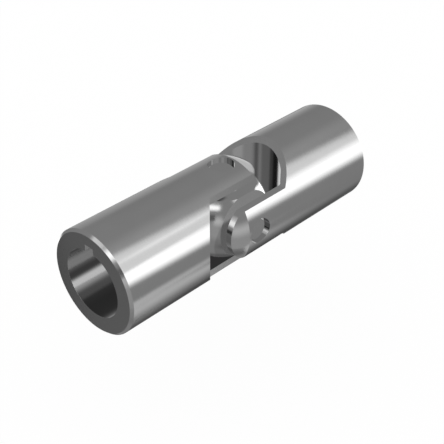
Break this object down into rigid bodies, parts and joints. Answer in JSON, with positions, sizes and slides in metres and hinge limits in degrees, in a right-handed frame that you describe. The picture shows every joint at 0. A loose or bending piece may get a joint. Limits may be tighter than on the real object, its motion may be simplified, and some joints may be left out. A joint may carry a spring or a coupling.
{
  "type": "universal joint",
  "caption": "Single universal joint with plain pins: forked hubs at right angles on a flatted ball block, with keyed blind shaft bores in the outer ends.",
  "frame": {"origin": "the joint's centre, where the two pin axes cross, which is also the middle of the bounding box", "axes": "+X along the shafts from the input end to the output end, +Z along the input fork's pin, +Y to the rear along the output fork's pins"},
  "size_m": [0.062, 0.02, 0.02],
  "materials": {
    "hub_steel": "fine turned steel",
    "block_steel": "ground steel",
    "pin_steel": "ground steel"
  },
  "bodies": {
    "input": {"input_hub": "hub_steel", "long_pin": "pin_steel"},
    "cross": {"ball_block": "block_steel"},
    "output": {"output_hub": "hub_steel", "short_pin_front": "pin_steel", "short_pin_rear": "pin_steel"}
  },
  "joints": [
    {"name": "input_pivot", "type": "hinge", "parent": "input", "child": "cross", "pos_m": [0, 0, 0], "axis": [0, 0, 1], "range_deg": [-45, 45]},
    {"name": "output_pivot", "type": "hinge", "parent": "cross", "child": "output", "pos_m": [0, 0, 0], "axis": [0, 1, 0], "range_deg": [-45, 45]}
  ]
}
